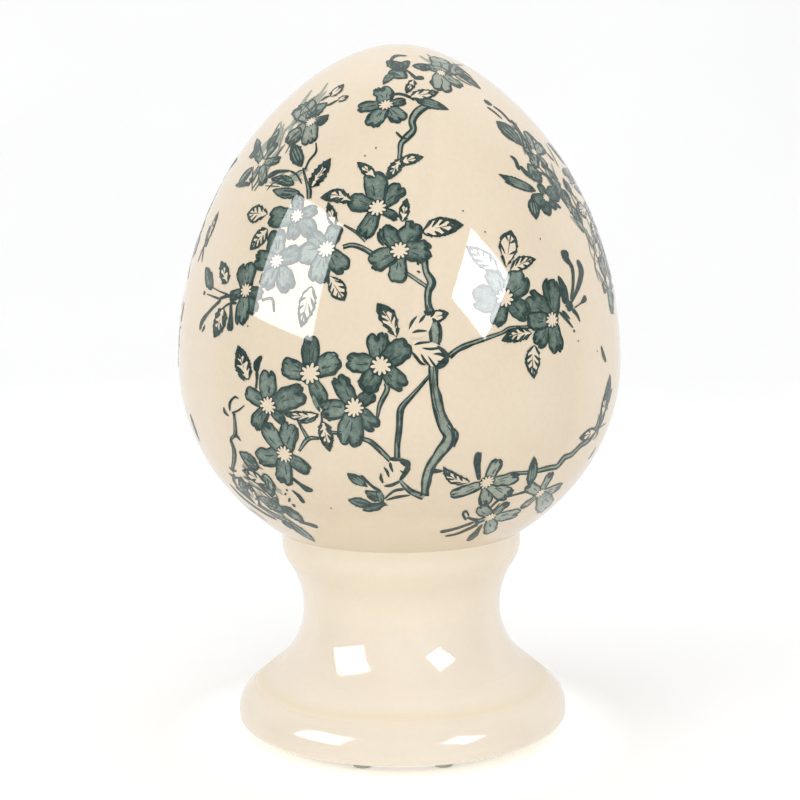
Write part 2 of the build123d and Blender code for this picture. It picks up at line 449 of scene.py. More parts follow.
def leaf(base, tip, half, kind="vein", bend=0.0, veins=4, skew=0.84):
    """A leaf from base to tip in the picture. The half width is in pixels. Kinds: vein, light, dark, petal."""
    middle = ((base[0] + tip[0]) / 2, (base[1] + tip[1]) / 2)
    at = place(middle)
    (bx, by), (tx, ty) = flatten(at, cast([base, tip]))
    length = math.hypot(tx - bx, ty - by)
    d = np.array((tx - bx, ty - by)) / length
    e = np.array((-d[1], d[0]))
    unit = float(unit_across(spline(cast([base, middle, tip]), 0.5)).mean())
    half = half * unit
    pen = min(unit, 1.5 * PX)

    def spot(t, v):
        t, v = np.asarray(t, float), np.asarray(v, float)
        return (
            np.array((bx, by)) + np.multiply.outer(t * length, d)
            + np.multiply.outer(v * half + bend * length * 4 * t * (1 - t), e)
        )

    t = np.linspace(0.0, 1.0, 23)
    shape = np.sin(math.pi * t**skew) ** 0.82
    upper = spot(t, shape * (1 + rng.normal(0, 0.06, len(t))))
    lower = spot(t, -shape * (1 + rng.normal(0, 0.06, len(t))))
    rim = np.vstack([upper[0:1], upper[1:-1], lower[-1:], lower[1:-1][::-1]])

    def wedge(root, tail, sign, fat, start=1.0, end=0.16, rise=0.05):
        """A dark stroke from the margin in towards the midrib."""
        s = np.linspace(0, 1, 6)
        wide = float(np.interp(root, t, shape))
        path = lay(at, spot(root + (tail - root) * s, sign * wide * (start + (end - start) * s**0.9)))
        ribbon(dark, path, fat * pen * np.array((1.0, 1.0, 0.95, 0.8, 0.55, 0.25)), 0.1, rise=rise)

    if kind == "petal":
        # a foreshortened petal: tinted, with a dark edge and shading strokes along it
        shade = rng.normal(0, 0.18)
        fill(
            tint, at, rim,
            lambda p: shade + 0.20 + 0.4 * ((p - (bx, by)) @ d / length - 0.5) - 0.6 * np.exp(-gap(p, rim) / 0.7),
            step=1.2, rise=0.004,
        )
        line = spline(rim, 0.4, closed=True)
        line = np.vstack([line, line[:1]])
        ribbon(dark, lay(at, line), 1.7 * pen * shaded(line) * wobble(len(line), 0.22), 0.15)
        for _ in range(veins - 1):
            q, a = rng.uniform(-0.6, 0.6), rng.uniform(0.10, 0.35)
            u = np.linspace(a, a + rng.uniform(0.35, 0.55), 7)
            ribbon(dark, lay(at, spot(u, q * np.interp(u, t, shape))), rng.uniform(1.0, 1.9) * pen * taper(7), 0.25)
        return
    fill(dark, at, rim, 0.05 if kind != "dark" else 0.25)
    if kind == "dark":
        for q in (-0.45, 0.0, 0.45):
            u = np.linspace(0.22, rng.uniform(0.6, 0.8), 7)
            ribbon(tint, lay(at, spot(u, q * np.interp(u, t, shape))), 1.5 * pen * taper(7), 0.2, rise=0.085)
        return
    # a pale blade inside a dark margin that closes into a dark tip
    edge = (1.7 if kind == "light" else 1.9) * pen
    inner = max(0.52, 1 - edge / half)
    first, last = (0.04, 0.86) if kind == "light" else (0.05, 0.76)
    s = np.linspace(0, 1, 19)
    blade = np.sin(math.pi * s**skew) ** 0.70 * inner * np.interp(first + (last - first) * s, t, shape).max()
    blade = np.minimum(blade, inner * np.interp(first + (last - first) * s, t, shape))
    top, low = spot(first + (last - first) * s, blade), spot(first + (last - first) * s, -blade * 0.92)
    fill(pale, at, np.vstack([top, low[1:-1][::-1]]))
    for k in range(veins):
        root = 0.24 + 0.58 * k / max(1, veins - 1)
        for sign in (1, -1):
            fat = (2.6 if kind == "light" else 3.6) * rng.uniform(0.8, 1.2) * min(1.0, half / (7.0 * pen) + 0.2)
            wedge(root + 0.03 * sign, root - rng.uniform(0.14, 0.22), sign, fat, 0.96, rng.uniform(0.08, 0.30))
    path = lay(at, spot(np.linspace(0.34, 0.88, 10), np.full(10, -0.04)))
    ribbon(dark, path, 1.1 * pen * np.linspace(0.3, 1.5, 10), 0.15, rise=0.05)


def blade(px):
    """A patch left pale in the print, through points of the picture."""
    px = np.asarray(px, float)
    at = place(px.mean(0))
    fill(pale, at, spline(flatten(at, cast(px)), 0.5, closed=True))


def along_of(points, path):
    along = np.r_[0, np.cumsum(np.linalg.norm(np.diff(path, axis=0), axis=1))]
    return along, [along[int(np.argmin(((path - p) ** 2).sum(1)))] for p in points]


def brush(px, widths, ink=None, tone=0.1, rise=0.0):
    """A dark stroke of changing weight. The widths are in pixels, one at each point of the picture."""
    px = np.asarray(px, float)
    place(px[len(px) // 2])
    points = cast(px)
    path = spline(points, 0.45)
    along, marks = along_of(points, path)
    width = np.interp(along, marks, np.asarray(widths, float)) * unit_across(path) * wobble(len(path), 0.10)
    # the ends are rounded off
    for k, share in ((0, 0.45), (1, 0.8), (-1, 0.45), (-2, 0.8)):
        if len(path) > 4:
            width[k] *= share
    ribbon(ink or dark, path, width, tone, 3, rise)


def branch(px, widths, edge=2.8, tone=0.0):
    """A twig through points of the picture, with its width in pixels at each."""
    px = np.asarray(px, float)
    place(px[len(px) // 2])
    points = cast(px)
    path = spline(points, 0.5)
    along, marks = along_of(points, path)
    unit = unit_across(path)
    width = np.interp(along, marks, np.asarray(widths, float)) * unit * wobble(len(path), 0.07)
    s, n = snap(path)
    b = np.cross(n, np.gradient(s, axis=0))
    b /= np.maximum(np.linalg.norm(b, axis=1, keepdims=True), 1e-9)
    lower_right = right * 0.66 - above * 0.75
    lip = edge * unit * np.clip(width / (8.5 * unit), 0.48, 1.0)
    ribbon(wood, path, np.maximum(width - lip, 0.4 * width), np.tile((-0.30, 0.25, 0.10, -0.40), len(path)) + tone, 4)
    for side in (1, -1):
        fat = (0.80 + 0.60 * np.clip(side * (b @ lower_right), 0, 1)) * lip * wobble(len(path), 0.24)
        ribbon(dark, s + b * (side * (width - lip) / 2)[:, None], fat, rng.uniform(-0.15, 0.05))
    if len(path) > 10 and np.mean(widths) > 5.5:
        for _ in range(3):
            i = int(rng.integers(1, max(2, len(path) // 2)))
            j = int(min(len(path) - 1, i + rng.integers(6, max(7, len(path) // 2))))
            if j - i > 4:
                q = rng.uniform(-0.22, 0.22)
                ribbon(dark, (s + b * (q * width)[:, None])[i:j], rng.uniform(0.8, 1.5) * PX * taper(j - i), 0.40)


def thicket(centre, reach, spread, angle, count, tone=0.2, thick=(3.0, 5.5)):
    """Crowded petals seen edge on: short strokes side by side, in pixels, the angle in degrees from the picture's right."""
    for k in range(count):
        q, w = math.sqrt(rng.uniform(0, 1)), rng.uniform(0, 2 * math.pi)
        a = math.radians(angle)
        mid = np.array(centre) + np.array((math.cos(a), -math.sin(a))) * reach * 0.7 * q * math.cos(w)
        mid = mid + np.array((math.sin(a), math.cos(a))) * spread * q * math.sin(w)
        a += rng.normal(0, 0.20)
        half = np.array((math.cos(a), -math.sin(a))) * reach * rng.uniform(0.18, 0.34)
        bow = np.array((math.sin(a), math.cos(a))) * rng.normal(0, 1.2)
        if k % 3:
            brush((mid - half, mid + bow, mid + half), (1.2, rng.uniform(*thick), 1.0), wood, tone + rng.normal(0, 0.3), 0.003 * (k % 9))
        else:
            brush((mid - half, mid + bow, mid + half), (0.7, rng.uniform(0.9, 1.7), 0.6), tone=rng.uniform(0.1, 0.6))


# ------------------------------------------------------------------ the print's layout, in points of the picture
# blossoms in full view
flower((377.5, 208), 8.5, [(374, 172), (402, 186), (397, 217), (362, 237), (349, 200)], [1, 0.95, 0.6, 0.95, 0.9])
flower((399.5, 250.5), 8.7, [(383, 227), (416, 223), (431, 251), (397, 282), (370, 264)], [0.95, 1, 1.05, 0.95, 0.95])
flower((381, 365.5), 10, [(377, 333), (408, 343), (404, 387), (365, 389), (346, 361)], [1.1, 1.05, 1.05, 1.05, 0.9])
flower((354.5, 408), 9.6, [(337, 376), (373, 392), (376, 428), (348, 446), (321, 410)], [0.9, 0.9, 1, 1, 1])
flower((310, 373.5), 10.3, [(311, 336), (339, 358), (323, 403), (282, 366)], [0.85, 1.05, 0.85, 1.05])
flower((268, 405.5), 9.2, [(268, 370), (305, 392), (284, 422), (254, 427), (246, 391)], [0.9, 0.9, 0.75, 0.85, 0.9], tone=0.2)
flower((284.5, 454), 9.2, [(264, 424), (291, 423), (309, 471), (284, 484), (257, 458)], [0.85, 0.9, 0.9, 0.8, 0.85], tone=0.35)
flower((297, 216), 7.2, [(298, 195), (317, 209), (313, 233), (291, 239), (269, 218)], [1, 0.9, 1, 1, 1.1])
flower((326.5, 249), 8.6, [(337, 225), (345, 271), (316, 282), (298, 255), (310, 232)], [1, 1, 1, 1.1, 0.9])
flower((277, 261), 7.6, [(276, 230), (300, 251), (289, 290), (264, 288), (255, 259)], [1, 1, 1, 1, 1.1])
flower((246, 290.5), 7.5, [(247, 263), (262, 294), (255, 312), (240, 324), (230, 297)], [1.35, 0.9, 0.9, 0.9, 0.6])
flower((386, 105), 7.4, [(382, 87), (405, 101), (402, 121), (370, 126), (358, 108)], [1.05, 0.9, 1.05, 0.9, 0.9], tone=0.15)
flower((505, 298), 9.4, [(524, 274), (528, 316), (495, 325), (473, 299), (490, 270)], [1.15, 1.15, 0.8, 1.15, 1])
flower((552, 320), 8.2, [(550, 279), (527, 296), (527, 321), (536, 345), (557, 352)], [0.95, 1.1, 0.9, 0.9, 1])

# blossoms turned away on the shoulders of the egg
flower((441, 73), 5.4, [(424, 65), (440, 58), (460, 69), (461, 87), (441, 91)], [0.9, 1.1, 1, 0.9, 1.15], tone=0.4, wide=0.26, ink=wood)
flower((487, 482), 8.0, [(498, 459), (519, 477), (509, 497), (485, 505), (450, 495)], [0.95, 0.8, 0.8, 0.8, 0.65], tone=0.55, wide=0.25, ink=wood)
flower((540, 493), 6.5, [(551, 472), (561, 486), (546, 509), (521, 508), (527, 485)], [0.8, 0.8, 0.8, 0.75, 0.8], tone=0.6, wide=0.24, ink=wood)
flower((490, 517), 7.0, [(480, 506), (508, 502), (519, 513), (490, 533), (475, 522)], [1, 0.9, 0.85, 0.8, 0.8], tone=0.5, wide=0.25, ink=wood)
flower((546, 198), 5.0, [(539, 184), (557, 192), (556, 208), (546, 214), (533, 203)], tone=-0.35)
flower((534, 152), 4.6, [(526, 132), (543, 147), (547, 166), (534, 166), (524, 150)], [0.7, 0.8, 0.7, 0.8, 0.8], tone=0.4, ink=wood)
flower((311, 122), 6.2, [(308, 101), (328, 118), (309, 144), (287, 143), (296, 108)], [0.8, 0.8, 1, 1.1, 0.8], tone=0.35, wide=0.27, ink=wood)
flower((262, 163), 5.2, [(277, 143), (280, 160), (264, 184), (251, 182), (257, 150)], [0.55, 0.6, 0.6, 0.55, 0.6], tone=0.4, ink=wood)

# the main branch and its twigs
branch([(433, 352), (433, 369), (434, 384), (437, 402), (442, 420), (449, 438), (438, 455), (430, 467), (426, 480), (424, 496)],
       [8, 10, 11, 11.5, 12.5, 12.5, 11, 10, 10, 8])
branch([(447, 424), (455, 434), (453, 447)], [3, 7, 3])
branch([(424, 259), (426, 272), (431, 282), (428, 292), (428, 304), (431, 314), (434, 323), (435, 333), (435, 345), (434, 356)],
       [8, 7, 9, 7.5, 8, 9, 11, 12, 11, 9])
branch([(430, 104), (418, 111), (412, 121), (413, 130), (406, 138), (401, 144), (400, 152), (399, 161)], [7, 9, 8, 7, 8, 6, 5, 4])
branch([(397, 458), (397, 446), (399, 429), (400, 412), (404, 404), (414, 393), (429, 376)], [6, 6, 7, 8, 6, 4, 3])
branch([(360, 438), (371, 442), (383, 453), (391, 461)], [4, 6, 7, 6])
branch([(400, 480), (406, 487), (412, 492), (424, 497)], [4, 6, 7, 7])
branch([(386, 383), (387, 390), (380, 404), (377, 420)], [5, 6, 5, 3])
branch([(449, 356), (460, 348), (478, 341), (501, 333), (511, 328), (530, 327)], [6, 5.5, 5.5, 4.5, 4, 4])
branch([(609, 392), (604, 404), (600, 416), (596, 428), (588, 440), (580, 446), (572, 454), (564, 458), (557, 466), (548, 468), (530, 472), (512, 473)],
       [2.5, 3, 3.4, 4.4, 4.4, 4, 5, 5.5, 5.5, 5.5, 4.4, 3.4])
branch([(234, 413), (235, 424), (235, 434), (231, 440), (234, 450), (234, 460), (232, 471)], [2.4, 3.6, 4.2, 2.6, 3.2, 4.6, 3])
branch([(343, 247), (352, 245), (363, 248), (374, 255)], [4, 4.5, 6, 6])
branch([(344, 225), (357, 233), (366, 241)], [2.5, 3.5, 4.5])
branch([(405, 272), (417, 280), (427, 287)], [4, 4.5, 4.5])
branch([(330, 432), (342, 433)], [4, 4])
branch([(319, 438), (308, 439), (299, 451)], [3, 5, 3])
branch([(297, 419), (303, 430), (308, 439)], [2, 3, 4])
branch([(316, 143), (316, 152), (309, 161), (305, 170)], [1.6, 2, 2, 2])
branch([(303, 168), (306, 180), (309, 190), (309, 199)], [2, 3, 5, 5])
branch([(523, 139), (527, 150), (534, 161)], [4, 5, 4])
branch([(262, 300), (272, 299), (274, 312)], [3, 3, 2])
branch([(230, 484), (240, 495), (252, 505), (264, 513), (276, 519)], [2, 3, 3.4, 3, 2])
branch([(236, 487), (250, 499), (262, 507), (275, 515), (288, 521), (298, 527)], [2.5, 3, 3.6, 4.6, 5, 3])

# leaves
leaf((422, 233), (464, 225), 9.8, bend=0.05)
leaf((397, 338), (377, 303), 8.6, bend=-0.06, skew=1.25)
leaf((352, 202), (320, 198), 7.2, bend=-0.13, skew=1.0)
leaf((402, 159), (386, 181), 6.0)
leaf((399, 164), (424, 157), 5.4, bend=0.05, veins=3)
leaf((402, 222), (407, 198), 5.4, veins=3)
leaf((376, 178), (357, 162), 5.6, veins=3)
leaf((249, 380), (238, 345), 8.0, bend=0.03)
leaf((323, 421), (330, 452), 7.2)
leaf((318, 414), (281, 412), 5.0, "light", bend=0.07)
leaf((319, 414), (299, 423), 4.6, "dark")
leaf((320, 412), (311, 391), 2.4, "dark")
leaf((322, 411), (333, 399), 2.2, "dark")
leaf((532, 333), (501, 341), 7.4, bend=-0.06, skew=0.95)
leaf((534, 345), (534, 379), 7.6, "light", bend=-0.06)
leaf((506, 268), (511, 230), 9.8, "light", bend=0.02, skew=1.35, veins=3)
leaf((510, 271), (536, 259), 7.0, "light", bend=0.06)
leaf((498, 271), (466, 246), 8.5, "light")
leaf((532, 198), (536, 220), 5.6, "dark")
leaf((534, 190), (498, 174), 4.6, "dark", bend=0.04)
leaf((536, 191), (504, 182), 4.8, "dark", bend=-0.03)
leaf((523, 147), (496, 121), 6.0, "dark", bend=-0.03, skew=1.2)
leaf((540, 182), (528, 164), 4.6, "petal")
leaf((470, 482), (443, 466), 6.0, "light", bend=0.14)
leaf((530, 486), (534, 456), 5.2, "dark")
leaf((595, 431), (579, 438), 5.0, "light", veins=3)
leaf((604, 408), (610, 376), 4.0, "petal")
leaf((602, 416), (605, 392), 3.6, "light", veins=3)
leaf((599, 426), (605, 404), 3.4, "petal")
leaf((606, 402), (611, 391), 3.0, "petal")
leaf((268, 229), (250, 250), 6.6, "light")
leaf((268, 214), (247, 214), 9.0, "light", skew=1.2)
leaf((335, 226), (328, 202), 5.2, veins=3)
leaf((208, 240), (219, 211), 3.2, "light")
leaf((206, 246), (210, 226), 2.4, "petal")
leaf((190, 413), (200, 442), 2.4, "dark")
leaf((312, 286), (301, 328), 8.5, "light")
leaf((329, 276), (345, 301), 9.0, "light", skew=1.15)
leaf((410, 98), (439, 92), 5.6, "light", veins=3)
leaf((414, 80), (406, 94), 4.4, veins=3)
leaf((416, 101), (449, 110), 4.8, "dark", bend=0.03)
leaf((228, 283), (221, 261), 5.4, veins=3)
leaf((212, 288), (206, 268), 4.0, "petal")
leaf((224, 308), (214, 338), 6.4, bend=0.03)
leaf((302, 167), (292, 143), 7.4, "dark", skew=0.9)
leaf((311, 188), (331, 158), 6.6, veins=5)
leaf((300, 193), (273, 190), 5.0, "petal", bend=0.06)
leaf((294, 184), (272, 179), 4.6, "petal", bend=-0.04)
leaf((250, 184), (236, 185), 1.8, "petal")
leaf((252, 168), (238, 185), 3.0, "petal")
leaf((259, 157), (257, 139), 3.4, "petal")
leaf((258, 151), (250, 156), 2.8, "petal")
leaf((268, 150), (279, 129), 3.0, "petal")
leaf((300, 128), (288, 143), 5.0, "petal")
leaf((306, 118), (327, 103), 4.4, "petal")
leaf((331, 97), (344, 84), 3.8, "light", veins=2)
leaf((338, 101), (349, 96), 2.8, "light", veins=2)
leaf((258, 468), (240, 452), 5.4, "petal")
leaf((266, 484), (242, 470), 5.0, "light", bend=-0.06, veins=3)
leaf((266, 474), (271, 496), 5.6, "petal")
leaf((284, 511), (258, 496), 5.4, "petal")
leaf((270, 509), (277, 497), 4.8, "petal")
leaf((282, 506), (303, 522), 4.4, "petal", bend=0.05)
leaf((290, 522), (314, 541), 4.2, "petal")
leaf((284, 520), (290, 528), 2.6, "petal")
leaf((258, 506), (249, 482), 4.2, "light", veins=3)
leaf((247, 496), (241, 477), 3.6, "petal")
leaf((368, 487), (347, 473), 4.8, "dark", skew=1.15)
leaf((381, 500), (366, 491), 4.6, "petal")
leaf((374, 505), (349, 500), 4.0, "petal", skew=1.2)
leaf((385, 503), (363, 510), 3.4, "petal", skew=1.1)
leaf((378, 488), (383, 505), 3.6, "dark")
leaf((402, 69), (387, 61), 4.6, "petal")
leaf((396, 71), (408, 61), 4.2, "petal")
leaf((390, 71), (406, 78), 5.4, "petal")
leaf((394, 72), (383, 85), 4.0, "dark")
leaf((455, 70), (479, 88), 3.4, "petal")
leaf((430, 68), (413, 66), 3.4, "petal")
leaf((560, 196), (552, 176), 4.0, "petal")
leaf((572, 206), (583, 231), 4.4, "petal")
leaf((561, 190), (571, 206), 4.6, "petal")
leaf((563, 180), (572, 194), 3.4, "petal")
leaf((430, 318), (449, 313), 6.4, veins=2)

# the half-drawn leaves on the knots
blade([(433, 315), (425, 314), (417, 318), (411, 327), (407, 335), (415, 338), (424, 336), (430, 329)])
blade([(412, 341), (420, 340), (431, 342), (440, 346), (446, 353), (446, 360), (440, 365), (430, 366), (421, 363), (414, 356)])
blade([(386, 465), (392, 460), (400, 460), (408, 465), (404, 472), (398, 480), (389, 484), (383, 478)])
for px, fat in (
    (((409, 329), (412, 322), (417, 316)), (1.2, 3.0, 1.0)), (((419, 323), (422, 319), (426, 314)), (1.2, 3.0, 1.4)),
    (((412, 333), (418, 331), (427, 331)), (1.2, 3.2, 1.6)), (((414, 345), (420, 343), (431, 342)), (1.2, 3.2, 2.0)),
    (((422, 348), (430, 349), (440, 348)), (1.2, 2.8, 2.4)), (((411, 351), (416, 357), (421, 363), (426, 365)), (1.6, 3.2, 3.4, 1.4)),
    (((421, 354), (425, 361), (430, 366)), (1.2, 3.0, 2.4)), (((428, 356), (432, 362), (436, 367)), (1.2, 2.8, 3.0)),
    (((433, 354), (439, 354), (446, 356)), (1.0, 3.0, 5.0)), (((437, 346), (443, 351), (449, 358)), (3.0, 4.6, 5.0)),
    (((436, 368), (442, 364), (448, 358)), (4.0, 7.0, 6.0)), (((437, 361), (442, 362), (447, 364)), (1.0, 3.4, 5.0)),
    (((440, 324), (441, 333), (440, 343)), (2.6, 3.0, 2.6)), (((424, 311), (428, 314), (433, 311)), (2.4, 4.0, 3.0)),
    (((399, 459), (406, 463), (410, 466)), (4.0, 6.5, 4.0)), (((409, 466), (405, 473), (400, 480)), (6.0, 5.0, 3.0)),
    (((384, 467), (387, 471), (389, 477)), (1.6, 3.4, 2.4)), (((381, 473), (381, 478), (383, 483)), (1.2, 3.0, 2.2)),
    (((384, 486), (391, 485), (400, 481)), (1.4, 3.4, 2.4)), (((390, 462), (391, 467), (393, 472)), (3.0, 3.0, 1.6)),
    (((400, 470), (403, 472), (406, 471)), (1.0, 2.4, 3.4)), (((389, 459), (394, 459), (400, 460)), (2.0, 4.4, 4.0)),
):
    brush(px, fat, rise=0.05)

# buds, stamens and short strokes
for px, fat in (
    (((231, 301), (231, 316), (230, 331)), (2.2, 3.6, 7.0)), (((256, 389), (257, 380), (257, 371)), (2.4, 2.2, 3.4)),
    (((257, 372), (257, 364), (262, 356)), (4.6, 7.0, 4.0)), (((230, 411), (230, 403), (235, 397), (239, 399)), (2.0, 2.6, 2.4, 1.2)),
    (((232, 413), (239, 410), (245, 405)), (2.0, 2.4, 1.0)), (((229, 416), (225, 412), (224, 407)), (1.8, 2.4, 1.4)),
    (((235, 434), (238, 437), (241, 441)), (2.4, 2.2, 0.8)),
    (((268, 177), (278, 172), (290, 171)), (6.0, 3.4, 2.2)),
    (((290, 171), (297, 175), (302, 184)), (2.0, 2.4, 1.4)),
    (((321, 101), (325, 98), (330, 96)), (1.6, 2.4, 1.6)), (((326, 106), (331, 104), (338, 100)), (1.2, 2.2, 1.4)),
    (((317, 122), (322, 119), (329, 115)), (3.4, 4.6, 2.4)), (((317, 124), (321, 124), (327, 121)), (3.0, 4.4, 2.0)),
    (((291, 477), (300, 484), (307, 489), (313, 490)), (3.0, 3.0, 5.4, 3.6)), (((292, 490), (299, 496), (304, 503)), (1.4, 3.0, 4.0)),
    (((244, 477), (255, 481), (266, 492)), (1.8, 2.4, 1.6)), (((229, 467), (233, 470), (237, 471)), (1.2, 2.4, 1.2)),
    (((229, 473), (234, 477), (241, 478)), (1.4, 2.6, 1.4)), (((234, 474), (234, 481), (239, 489)), (2.2, 2.8, 1.8)),
    (((299, 522), (308, 524), (318, 527)), (2.0, 3.4, 4.6)), (((277, 503), (286, 511), (293, 518)), (1.6, 2.6, 2.4)),
    (((564, 250), (566, 258), (572, 268), (573, 284), (571, 300)), (8.0, 6.4, 3.0, 3.0, 3.4)),
    (((577, 260), (581, 270), (579, 284), (571, 303)), (3.0, 5.4, 4.2, 2.4)),
    (((558, 276), (563, 288), (566, 304)), (2.4, 7.4, 6.0)), (((586, 297), (581, 303), (574, 308)), (6.0, 1.8, 1.8)),
    (((567, 301), (569, 306), (568, 311)), (5.0, 9.0, 5.0)), (((572, 309), (577, 315), (580, 322)), (4.4, 3.0, 1.2)),
    (((559, 312), (566, 319), (573, 328)), (2.4, 3.0, 1.4)), (((562, 311), (566, 315), (570, 319)), (2.6, 3.2, 2.0)),
    (((478, 452), (477, 462), (479, 480)), (5.0, 7.4, 3.6)), (((481, 452), (480, 460), (479, 466)), (1.6, 2.6, 2.0)),
    (((431, 471), (436, 471), (443, 471)), (5.0, 4.6, 1.6)), (((396, 132), (401, 137), (407, 139)), (2.4, 2.6, 2.0)),
    (((393, 67), (391, 61), (396, 56), (407, 56)), (3.0, 3.4, 2.8, 1.4)), (((402, 68), (410, 73), (415, 78)), (1.6, 2.2, 4.0)),
    (((414, 79), (419, 78), (424, 78)), (3.6, 5.0, 4.4)), (((389, 96), (399, 94), (409, 97), (414, 101)), (2.2, 2.6, 3.0, 1.4)),
    (((484, 100), (488, 103), (492, 105)), (2.6, 3.6, 1.8)), (((493, 106), (502, 113), (511, 123)), (1.6, 2.4, 2.6)),
    (((487, 107), (494, 112), (502, 119)), (1.4, 1.8, 1.0)), (((511, 120), (518, 130), (524, 141)), (2.6, 3.4, 4.0)),
    (((526, 131), (533, 138), (541, 147)), (1.2, 2.2, 2.6)), (((510, 156), (515, 160), (519, 170)), (2.0, 3.0, 3.6)),
    (((520, 166), (526, 173), (533, 178)), (2.6, 3.6, 4.0)), (((541, 165), (550, 171), (558, 180)), (3.6, 3.0, 2.4)),
    (((536, 172), (547, 176), (553, 186)), (2.0, 2.6, 2.4)), (((554, 203), (558, 206), (561, 208)), (2.2, 3.4, 2.0)),
    (((563, 178), (570, 190), (577, 201)), (2.4, 2.0, 1.0)), (((546, 152), (551, 158), (554, 161)), (1.0, 1.8, 1.0)),
    (((601, 346), (603, 354), (606, 362)), (1.4, 3.0, 1.6)), (((610, 374), (609, 382), (608, 390)), (1.2, 2.2, 1.6)),
    (((612, 388), (609, 400), (605, 412)), (1.2, 1.8, 1.0)), (((596, 447), (592, 454), (588, 460)), (1.0, 1.8, 1.0)),
    (((220, 299), (212, 296), (207, 294)), (2.4, 1.8, 1.2)), (((221, 300), (210, 311), (202, 322), (200, 330)), (2.8, 2.6, 3.4, 2.0)),
    (((238, 296), (228, 296), (219, 299)), (4.0, 3.6, 2.4)), (((237, 303), (229, 304), (222, 309)), (3.0, 2.2, 1.2)),
    (((229, 295), (219, 291), (212, 287)), (1.8, 1.4, 1.0)), (((205, 325), (204, 328), (202, 332)), (1.0, 1.8, 1.0)),
    (((207, 240), (202, 251), (198, 262)), (1.6, 1.4, 1.0)), (((204, 246), (203, 254), (202, 262)), (1.0, 1.4, 1.0)),
    (((253, 510), (260, 516), (267, 521)), (1.0, 1.6, 1.0)),
    (((238, 499), (247, 507), (256, 513)), (1.0, 1.6, 1.0)), (((466, 520), (463, 514), (466, 511), (469, 516)), (3.0, 2.6, 2.4, 1.6)),
    (((467, 517), (472, 519), (478, 520)), (2.0, 2.6, 3.4)), (((440, 532), (454, 529), (474, 522)), (3.6, 2.4, 2.4)),
    (((445, 536), (456, 534), (468, 529), (478, 524)), (2.2, 2.2, 2.2, 2.6)), (((468, 541), (474, 535), (482, 524)), (3.0, 6.4, 2.0)),
    (((483, 500), (492, 510), (500, 503)), (1.0, 1.2, 1.0)), (((489, 509), (496, 502), (503, 497)), (1.6, 2.2, 1.8)),
    (((527, 491), (517, 494), (506, 497)), (3.0, 2.0, 2.0)), (((384, 499), (394, 491), (404, 489)), (1.6, 2.4, 2.6)),
    (((386, 500), (397, 497), (410, 495)), (1.6, 2.8, 1.4)), (((378, 490), (371, 485), (361, 475)), (3.4, 2.6, 2.4)),
    (((384, 505), (388, 505)), (1.4, 1.0)), (((238, 374), (241, 377), (245, 381)), (1.4, 2.6, 1.4)),
    (((320, 428), (322, 420), (321, 412)), (1.8, 2.2, 1.6)), (((327, 419), (329, 420), (331, 421)), (2.2, 3.2, 2.2)),
    (((417, 262), (418, 264), (419, 265)), (2.0, 2.6, 1.6)), (((417, 271), (419, 272), (420, 273)), (2.0, 2.6, 1.6)),
    (((378, 232), (379, 240), (384, 246)), (2.4, 2.8, 2.0)), (((383, 231), (384, 238), (388, 243)), (2.0, 2.6, 1.6)),
    (((358, 380), (361, 385), (366, 391)), (1.6, 5.0, 5.4)), (((363, 373), (361, 379), (357, 382)), (2.0, 3.4, 1.4)),
    (((287, 489), (287, 491)), (2.4, 2.0)), (((286, 493), (285, 495)), (2.0, 1.6)), (((290, 498), (289, 502)), (2.8, 2.2)),
    (((293, 504), (295, 507)), (2.2, 1.6)),
):
    brush(px, fat)
thicket((303, 120), 46, 9, 58, 18, 0.6, (2.0, 3.6))
thicket((267, 158), 46, 9, 62, 16, 0.7, (1.8, 3.2))
thicket((284, 180), 28, 6, 25, 10, 0.6, (1.8, 3.0))
thicket((262, 478), 34, 9, -40, 8, 0.6, (1.4, 2.4))
thicket((274, 506), 52, 5, -38, 8, 0.6, (1.2, 2.2))
thicket((455, 72), 44, 6, -25, 10, 0.7, (1.4, 2.4))
thicket((543, 170), 60, 7, -58, 12, 0.6, (1.6, 2.8))
thicket((579, 214), 56, 6, -62, 14, 0.8, (1.0, 2.0))
thicket((602, 416), 30, 2.4, 70, 5, 0.5, (1.0, 1.8))
thicket((597, 262), 44, 3.0, -72, 10, 0.7, (0.9, 1.6))
dot((204.5, 293), 2.4)
dot((574, 331), 1.6)
for spot in ((463, 211), (485, 232), (540, 239), (248, 326), (331, 508), (376, 148), (365, 156), (578, 341), (597, 351)):
    dot(spot, 0.9)


# ------------------------------------------------------------------ repeats of the print round the egg
def spun(points, degrees):
    a = math.radians(degrees)
    c, s = math.cos(a), math.sin(a)
    x, y = points[:, 0], points[:, 1]
    return np.c_[x * c - y * s, x * s + y * c, points[:, 2]]


# Each repeat turns the motifs whose azimuth and height it takes.
REPEATS = (
    (0.0, lambda az, z: True),
    (180.0, lambda az, z: True),
    (112.0, lambda az, z: -45 < az < -14 and 135 < z < 192),
    (80.0, lambda az, z: 16 < az < 52 and 120 < z < 175),
    (-84.0, lambda az, z: -52 < az <= -20.5 and 135 < z < 192),
    (-84.0, lambda az, z: -20.5 < az < (6 if z > 125 else -3) and 104 < z < 190),
)


